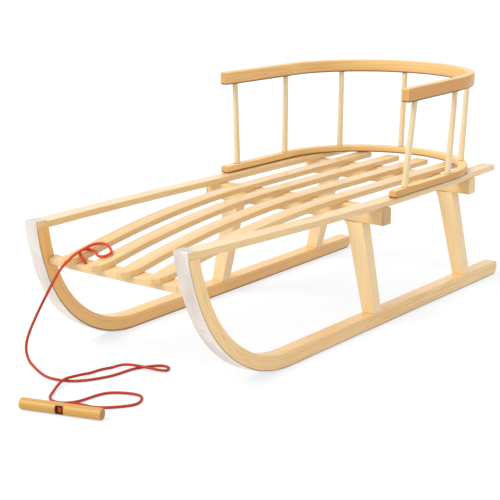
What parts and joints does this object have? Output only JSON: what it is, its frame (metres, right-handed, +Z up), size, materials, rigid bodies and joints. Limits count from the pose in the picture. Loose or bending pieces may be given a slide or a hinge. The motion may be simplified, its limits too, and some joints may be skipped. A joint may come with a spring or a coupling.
{
  "type": "wooden toboggan",
  "caption": "Wooden sled with two bent steel-shod runners, splayed trestle legs, a slatted seat that curves down to the front, a spindle backrest hoop and a pull cord with a toggle.",
  "frame": {"origin": "on the ground under the middle of the sled, its pull cord left out", "axes": "+Z up, -Y towards the front horns, +X towards the rider's left"},
  "size_m": [0.4146, 1.099, 0.416],
  "materials": {
    "ash": "clear satin varnish",
    "bent_ash": "clear satin varnish",
    "birch": "clear satin varnish",
    "toggle_wood": "clear satin varnish",
    "shoe_steel": "satin",
    "zinc_screw": "zinc plated",
    "red_cord": "braided"
  },
  "bodies": {
    "root": {"runner_left": "ash", "runner_right": "ash", "runner_shoe_left": "shoe_steel", "runner_shoe_right": "shoe_steel", "side_rail_left": "ash", "side_rail_right": "ash", "front_crossbar": "ash", "front_trestle_beam": "ash", "rear_trestle_beam": "ash", "front_leg_left": "ash", "front_leg_right": "ash", "rear_leg_left": "ash", "rear_leg_right": "ash", "slat_1": "ash", "slat_2": "ash", "slat_3": "ash", "slat_4": "ash", "backrest_lower_hoop": "bent_ash", "backrest_upper_hoop": "bent_ash", "spindle_1": "birch", "spindle_2": "birch", "spindle_3": "birch", "spindle_4": "birch", "spindle_5": "birch", "spindle_6": "birch", "spindle_7": "birch", "shoe_screws": "zinc_screw", "horn_screws": "zinc_screw", "rail_screws": "zinc_screw", "slat_screws": "zinc_screw", "backrest_screws": "zinc_screw", "pull_cord": "red_cord", "pull_handle": "toggle_wood", "handle_knot": "red_cord", "crossbar_knot": "red_cord"}
  },
  "joints": []
}
